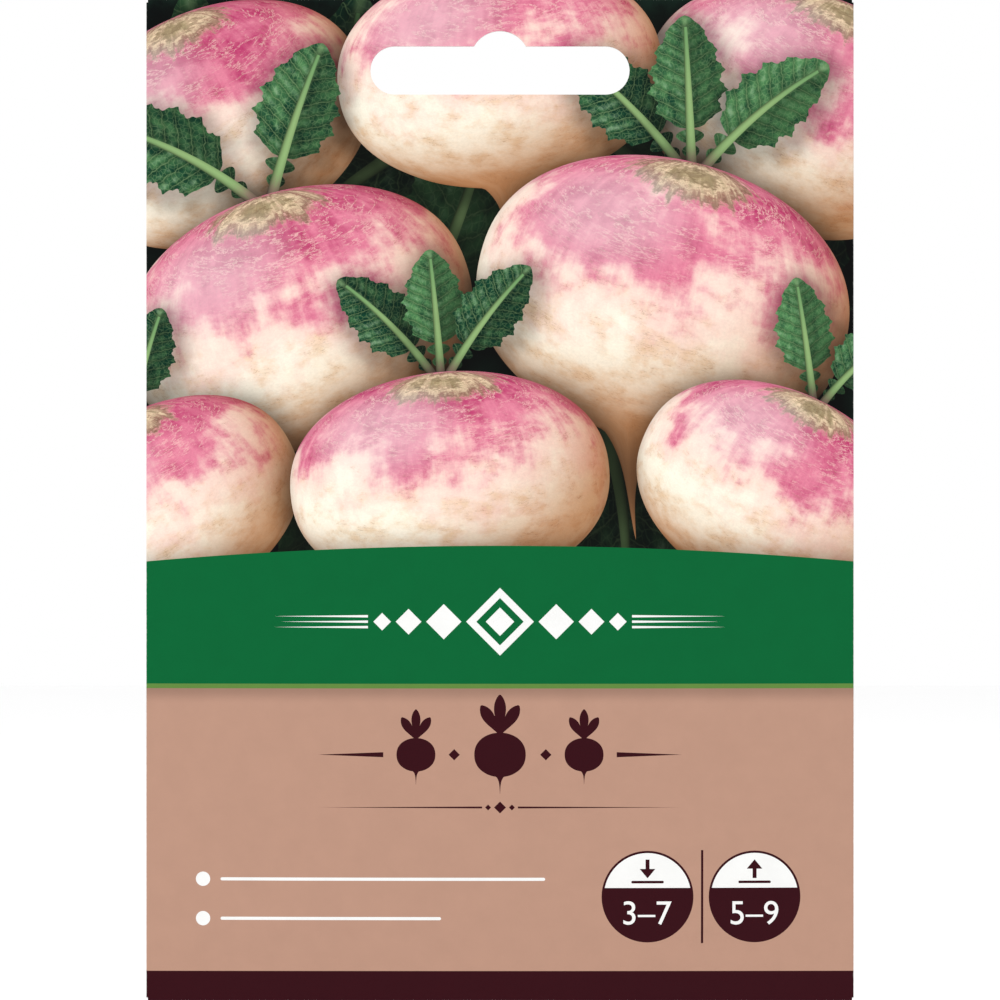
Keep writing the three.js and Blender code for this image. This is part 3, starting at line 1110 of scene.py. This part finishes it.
def leafBladeMaterial():
    made = printFinish("leafBlade")
    tint = tints(foliage)
    s, t = made.motifPlace()
    seed = made.attribute("motifSeed")
    cloud = made.noise((s * 3.0, t * 2.0, seed), 2.0, 6.0, 0.6)
    wobble = made.noise((s * 6.0, t * 3.0, seed + 4.0), 2.0, 3.0)
    fine = made.noise((s * 40.0, t * 26.0, seed), 1.6, 5.0, 0.7)
    side = t.math("ABSOLUTE")
    offVein = (s * veinsPerLeaf - side * 1.9 + (wobble - 0.5) * 0.5).math("FRACT").off()
    vein = offVein.ramp(0.44, 0.5) * side.ramp(1.1, 0.5)
    spot = made.join(s * 16.0 + seed, t * 6.0 + wobble, 0.0)
    net = made.add("ShaderNodeTexVoronoi", {"Vector": spot, "Scale": 1.6}, feature="DISTANCE_TO_EDGE")
    netLine = Field(made.tree, net.outputs["Distance"]).ramp(0.09, 0.0)
    tone = (seed * 2.7).math("SINE") * 0.12
    color = made.mix((cloud + tone).ramp(0.3, 0.72), tint["dark"], tint["light"])
    color = made.mix(netLine * 0.28, color, tint["vein"])
    color = made.mix((vein * 0.65).math("MAXIMUM", side.ramp(0.12, 0.0) * 0.5), color, tint["vein"])
    pucker = offVein.ramp(0.5, 0.08) * 0.42 + 0.66
    shine = (offVein.ramp(0.3, 0.05) * (cloud * 0.6 + wobble * 0.6).ramp(0.55, 0.8)) * t.ramp(-0.6, 0.5) * 0.4
    fold = t.ramp(-0.25, 0.25) * 0.42 + 0.76
    foot = s.ramp(-0.1, 0.35) * 0.3 + 0.7
    color = made.shaded(color, pucker * fold * foot * ((fine - 0.5) * 0.5 + 1.0))
    return finishPrint(made, made.mix(shine, color, tint["shine"]))


def leafStalkMaterial():
    made = printFinish("leafStalk")
    tint = tints(foliage)
    s, t = made.motifPlace()
    grain = made.noise((s * 6.0, t * 3.0, made.attribute("motifSeed")), 3.0, 5.0, 0.6)
    color = made.mix((s + (grain - 0.5) * 0.2).ramp(0.02, 0.25), tint["stalkFoot"], tint["stalk"])
    color = made.mix(s.ramp(0.5, 0.95), color, tint["stalkTip"])
    bulge = (t * t * -0.55) + (t * -0.25) + 1.0
    return finishPrint(made, made.shaded(color, bulge * ((grain - 0.5) * 0.3 + 1.0)))


def groundMaterial():
    made = printFinish("pictureGround")
    tint = tints(foliage)
    patches = made.noise(made.place, 75, 5.0, 0.6).ramp(0.4, 0.75)
    return finishPrint(made, made.mix(patches, tint["groundDark"], tint["groundLight"]))


def barePaperMaterial(name, rgb, roughness, bumpStrength):
    made = Finish(name, roughness, 0.25)
    fibre = made.noise(made.place, 700, 8.0, 0.7)
    made.set("Base Color", made.shaded(linear(*rgb), (fibre.ramp(0.2, 0.8) * 0.05 + 0.96) * coating["white"]))
    made.bump(made.noise(made.place, 500, 6.0, 0.6), bumpStrength, 0.00005)
    return made.material


def mottledMaterial(name, finish):  # for the foil and the seeds
    made = Finish(name, finish["roughness"], finish["specular"])
    made.set("Metallic", finish["metallic"])
    mottle = made.noise(made.place, *finish["noise"])
    dark, light = (linear(*rgb) for rgb in finish["colors"])
    made.set("Base Color", made.mix(mottle.ramp(*finish["ramp"]), dark, light))
    made.bump(mottle, *finish["bump"])
    return made.material


inks = {
    "greenInk": (5, 104, 57),
    "lineInk": (101, 140, 68),
    "tanInk": (191, 150, 130),
    "backTan": (191, 150, 130),
    "paleTan": (224, 202, 190),
    "maroonInk": (58, 23, 29),
    "bareWhite": (250, 250, 248),
}
tanFade = {"depth": 2.6, "amount": 0.3}  # the tan's shade under the green band's line
fades = {"tanInk": (label["lineBottom"] + packet["bottomZ"], tanFade["depth"], tanFade["amount"])}
printMaterials = {
    "pictureGround": groundMaterial(),
    "rootSkin": rootSkinMaterial(),
    "leafBlade": leafBladeMaterial(),
    "leafStalk": leafStalkMaterial(),
    **{name: inkMaterial(name, rgb, fades.get(name)) for name, rgb in inks.items()},
    "bareInside": barePaperMaterial("bareInside", (238, 236, 230), 0.8, 0.6),
    "cutEdge": barePaperMaterial("cutEdge", (244, 242, 238), 0.85, 0.3),
}
print("print materials made")


gridStep = {"front": 1.7, "back": 3.0, "flap": 2.5, "seam": 0.75}


def gridOver(low, high, step, extra=()):
    count = int(round((high - low) / step))
    lines = np.concatenate([np.linspace(low, high, count + 1)[1:-1], extra])
    return np.unique(np.round(lines, 4))


def foldLines(side):
    return [side * round(foldCentre + packet["foldRadius"] * math.pi / 8 * k, 4) for k in range(4)]


def bendLines(end, way):
    return [round(end + way * bendHalf * k / 5, 4) for k in range(5)]


def makeFront():
    c, f = foldCentre, foldEnd
    low, high = panelBottom - bendHalf, panelTop + bendHalf
    outline = [
        (-f, panelBottom), (-c, panelBottom), (-c, low), (c, low), (c, panelBottom), (f, panelBottom),
        (f, panelTop), (c, panelTop), (c, high), (-c, high), (-c, panelTop), (-f, panelTop),
    ]
    folds = foldLines(1) + foldLines(-1)
    bends = bendLines(panelBottom, -1) + bendLines(panelTop, 1)
    step = gridStep["front"]
    grid = gridOver(-c, c, step, folds), gridOver(panelBottom, panelTop, step, bends)
    motifs = pictureMotifs() + labelMotifs()
    layer = makeLayer(frontPlace, 1, outline, grid, (folds, bends), motifs, "pictureGround")
    return makeSheet("front_panel", [layer], [1.0], printMaterials)


def makeBack():
    p, step, seam = packet, gridStep["back"], packet["seamHalf"]
    motifs = backMotifs()
    seamLines = [k * gridStep["seam"] for k in range(-12, 17)]
    rows = gridOver(panelBottom, panelTop, gridStep["front"])
    layers = []
    for place, side, extra in ((leftPlace, -1, []), (rightPlace, 1, seamLines)):
        low, high = sorted((side * foldEnd, -side * seam))
        columns = gridOver(*sorted((side * foldCentre, -side * seam)), step, foldLines(side) + extra)
        outline = box(low, panelBottom, high, panelTop)
        creases = foldLines(side), []
        layers.append(makeLayer(place, -1, outline, (columns, rows), creases, motifs, "backTan"))
    columns = gridOver(-foldCentre, foldCentre, step, seamLines)
    for start, end, way, paint in (
        (panelBottom, p["bottomFlap"], -1, "maroonInk"),
        (panelTop, p["height"] - p["topFlap"], 1, "greenInk"),
    ):
        c, free = foldCentre, foldCentre * (1 - p["flapTaper"])
        half = [(c, start + way * bendHalf), (c, start), (free, end)]
        outline = half + [(-x, w) for x, w in reversed(half)]
        bends = bendLines(start, way)
        rows = gridOver(min(start, end), max(start, end), gridStep["flap"], bends)
        layers.append(makeLayer(flapPlace, -1, outline, (columns, rows), ([], bends), [], paint))
    return makeSheet("back_panels", layers, [0.44, 0.44, 0.06, 0.06], printMaterials)


front = makeFront()
print("front panel made:", len(front.data.polygons), "faces")
backPiece = makeBack()
print("back panels made:", len(backPiece.data.polygons), "faces")
for piece in (front, backPiece):
    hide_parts("paper_packet")
    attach(piece, "root")


# The foil sachet, sealed flat round its edge and swollen between its seals
sachet = {
    "halfWidth": 38,
    "bottom": 10,
    "top": 112,
    "foil": 0.06,
    "seal": 4,
    "ramp": 6,
    "clearance": 0.3,
    "ridgePitch": 1.3,
    "ridge": 0.05,
    "crease": 0.05,
    "tooth": 0.5,  # the zigzag of its cut ends
    "toothPitch": 2,
    "columns": 130,
    "rows": 150,
}


def sachetHalf(x, up):
    p = sachet
    full = smooth((p["halfWidth"] - p["seal"] - np.abs(x)) / p["ramp"])
    full = full * smooth((up - p["bottom"] - p["seal"]) / p["ramp"])
    full = full * smooth((p["top"] - p["seal"] - up) / p["ramp"])
    crease = p["crease"] * np.sin(x / 5 + up / 9) * np.sin(up / 6 - x / 13 + 2)
    sealed = p["foil"] + 0.01
    return sealed + full * (outHalf(x, up) - packet["paper"] - p["clearance"] - sealed + crease), full


def foilPlace(x, up, side, depth):
    half, full = sachetHalf(x, up)
    ridges = sachet["ridge"] * np.sin(2 * math.pi * x / sachet["ridgePitch"])
    atEnds = (up < sachet["bottom"] + sachet["seal"]) | (up > sachet["top"] - sachet["seal"])
    return side * (half - depth) + ridges * (1 - full) * atEnds


def makeFoil(name, side):
    p = sachet
    columns = np.linspace(-p["halfWidth"], p["halfWidth"], p["columns"] + 1)
    shares = np.linspace(0, 1, p["rows"] + 1)
    tooth = p["tooth"] * np.abs((columns / p["toothPitch"]) % 1 * 2 - 1)
    x = np.tile(columns, (len(shares), 1))
    up = p["bottom"] + tooth + shares[:, None] * (p["top"] - p["bottom"] - 2 * tooth)
    z = up + packet["bottomZ"]
    outer = np.stack([x, foilPlace(x, up, side, 0), z], -1).reshape(-1, 3)
    inner = np.stack([x, foilPlace(x, up, side, p["foil"]), z], -1).reshape(-1, 3)
    width = p["columns"] + 1
    corner = (np.arange(p["rows"])[:, None] * width + np.arange(p["columns"])).ravel()
    quads = np.stack([corner, corner + 1, corner + width + 1, corner + width], -1)
    if side > 0:
        quads = quads[:, ::-1]
    n = len(outer)
    rims = rimEdges(np.concatenate([quads[:, [0, 1, 2]], quads[:, [0, 2, 3]]]))
    walls = np.stack([rims[:, 1], rims[:, 0], rims[:, 0] + n, rims[:, 1] + n], -1)
    mesh = bpy.data.meshes.new(name)
    points = np.concatenate([outer, inner]) * mm
    mesh.from_pydata(points, [], np.concatenate([quads, quads[:, ::-1] + n, walls]).tolist())
    mesh.polygons.foreach_set("use_smooth", np.ones(len(mesh.polygons), bool))
    return link(name, mesh)


foilFinish = {
    "roughness": 0.32,
    "specular": 0.5,
    "metallic": 0.9,
    "noise": (160, 6.0, 0.65),  # scale, detail and roughness
    "ramp": (0.3, 0.8),
    "colors": ((186, 188, 192), (222, 223, 226)),
    "bump": (0.5, 0.0003),  # strength and height
}
foil = mottledMaterial("sachetFoil", foilFinish)
for name, node, side in (("front_foil", "sachet_front_foil", -1), ("back_foil", "sachet_back_foil", 1)):
    sheet = makeFoil(name, side)
    sheet.data.materials.append(foil)
    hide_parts(node)
    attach(sheet, "root")
print("sachet made")

# The seeds: a mound of loose grains at the bottom of the sachet
grains = {
    "Half Width": 0.0100,
    "Height": 0.0052,
    "Foot": 0.022,
    "Spacing": 0.0013,
    "Radius": 0.00085,
    "Density": 4e6,
    "Seed": 7,
}
seedFinish = {
    "roughness": 0.7,
    "specular": 0.3,
    "metallic": 0.0,
    "noise": (2600, 4.0, 0.6),
    "ramp": (0.3, 0.7),
    "colors": ((58, 28, 20), (116, 66, 46)),
    "bump": (0.6, 0.00005),
}


def socketId(tree, name):
    return next(item.identifier for item in tree.interface.items_tree if item.name == name)


def seedTree(material):
    tree = bpy.data.node_groups.new("looseSeeds", "GeometryNodeTree")
    for name, value in grains.items():
        kind = "NodeSocketInt" if isinstance(value, int) else "NodeSocketFloat"
        tree.interface.new_socket(name, in_out="INPUT", socket_type=kind)
    tree.interface.new_socket("Geometry", in_out="OUTPUT", socket_type="NodeSocketGeometry")
    given = tree.nodes.new("NodeGroupInput").outputs

    def add(kind, values=(), **settings):
        return addNode(tree, kind, values, **settings)

    def calc(operation, first, second):
        return add("ShaderNodeMath", {0: first, 1: second}, operation=operation).outputs[0]

    flat = add("GeometryNodeMeshGrid", {"Size X": 2.0, "Size Y": 1.0, "Vertices X": 40, "Vertices Y": 8})
    where = add("ShaderNodeSeparateXYZ", {0: add("GeometryNodeInputPosition").outputs[0]})
    across = where.outputs["X"]
    upward = calc("ADD", where.outputs["Y"], 0.5)
    roundOff = calc("SUBTRACT", 1.0, calc("MULTIPLY", across, across))
    lift = calc("MULTIPLY", calc("MULTIPLY", upward, roundOff), given["Height"])
    lift = calc("ADD", calc("ADD", lift, given["Foot"]), packet["bottomZ"] * mm)
    side = calc("MULTIPLY", across, given["Half Width"])
    spot = add("ShaderNodeCombineXYZ", {"X": side, "Y": 0.0, "Z": lift})
    mound = add("GeometryNodeSetPosition", {"Geometry": flat.outputs["Mesh"], "Position": spot.outputs[0]})
    points = add(
        "GeometryNodeDistributePointsOnFaces",
        {
            "Mesh": mound.outputs[0],
            "Distance Min": given["Spacing"],
            "Density Max": given["Density"],
            "Seed": given["Seed"],
        },
        distribute_method="POISSON",
    )
    grain = add("GeometryNodeMeshUVSphere", {"Segments": 8, "Rings": 6, "Radius": given["Radius"]})
    soft = add("GeometryNodeSetShadeSmooth", {0: grain.outputs["Mesh"]})
    turn, size = (
        add("FunctionNodeRandomValue", {0: low, 1: high, "Seed": given["Seed"]}, data_type="FLOAT_VECTOR")
        for low, high in (((0, 0, 0), (6.28, 6.28, 6.28)), ((0.82, 0.82, 0.82), (1.1, 1.1, 1.1)))
    )
    placed = add(
        "GeometryNodeInstanceOnPoints",
        {
            "Points": points.outputs["Points"],
            "Instance": soft.outputs[0],
            "Rotation": turn.outputs["Value"],
            "Scale": size.outputs["Value"],
        },
    )
    real = add("GeometryNodeRealizeInstances", {0: placed.outputs[0]})
    painted = add("GeometryNodeSetMaterial", {"Geometry": real.outputs[0], "Material": material})
    add("NodeGroupOutput", {0: painted.outputs[0]})
    return tree


def makeSeeds():
    tree = seedTree(mottledMaterial("seedCoat", seedFinish))
    pile = link("loose_seeds", bpy.data.meshes.new("loose_seeds"))
    modifier = pile.modifiers.new("looseSeeds", "NODES")
    modifier.node_group = tree
    for name, value in grains.items():
        modifier[socketId(tree, name)] = value
    evaluated = pile.evaluated_get(bpy.context.evaluated_depsgraph_get())
    plain = bpy.data.meshes.new_from_object(evaluated)
    pile.modifiers.remove(modifier)
    pile.data = plain
    return pile


looseSeeds = makeSeeds()
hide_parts("seeds")
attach(looseSeeds, "root")
print("seeds made:", len(looseSeeds.data.polygons), "faces")

# Studio: a plain pale floor, white all round, and soft lights in front and behind
studio = {
    "floorDrop": 0.05,
    "floorHalf": 3.0,
    "floor": (0.97, 0.97, 0.97, 1),
    "lightSize": 1.2,
    "lights": {  # place and power
        "key": ((-1.25, -0.95, 0.85), 9.4),
        "fill": ((1.0, -1.4, 0.2), 2.2),
        "backKey": ((1.2, 1.0, 0.8), 5.0),
    },
    "world": 1.0,
    "lens": 200.0,
    "closer": 0.9985,  # the packet's ends just leave the frame, as in the photograph
}


def areaLight(name, place, target, size, power):
    data = bpy.data.lights.new(name, "AREA")
    data.shape = "SQUARE"
    data.size = size
    data.energy = power
    lamp = link(name, data)
    lamp.location = place
    lamp.rotation_euler = (Vector(target) - Vector(place)).to_track_quat("-Z", "Y").to_euler()


def makeStudio():
    half = studio["floorHalf"]
    level = cadLow.z - studio["floorDrop"]
    mesh = bpy.data.meshes.new("floor")
    corners = [(-half, -half, level), (half, -half, level), (half, half, level), (-half, half, level)]
    mesh.from_pydata(corners, [], [(0, 1, 2, 3)])
    pale = Finish("paleFloor", 0.9, 0.1)
    pale.set("Base Color", studio["floor"])
    mesh.materials.append(pale.material)
    link("floor", mesh)
    middle = (cadLow + cadHigh) / 2
    for name, (place, power) in studio["lights"].items():
        areaLight(name, place, middle, studio["lightSize"], power)
    world = bpy.data.worlds.new("studioWorld")
    world.use_nodes = True
    sky = world.node_tree.nodes["Background"]
    sky.inputs["Color"].default_value = (1, 1, 1, 1)
    sky.inputs["Strength"].default_value = studio["world"]
    bpy.context.scene.world = world
    bpy.context.scene.view_settings.view_transform = "Standard"


def makeCamera():
    data = bpy.data.cameras.new("camera")
    data.lens = studio["lens"]
    data.sensor_width = 36.0
    data.clip_start, data.clip_end = 0.05, 20
    camera = link("camera", data)
    tall = packet["height"] * mm
    middle = (cadLow + cadHigh) / 2
    away = tall * data.lens / data.sensor_width * studio["closer"]
    camera.location = (middle.x, -away, middle.z)
    camera.rotation_euler = (math.pi / 2, 0, 0)
    bpy.context.scene.camera = camera


makeStudio()
makeCamera()
print("studio made")
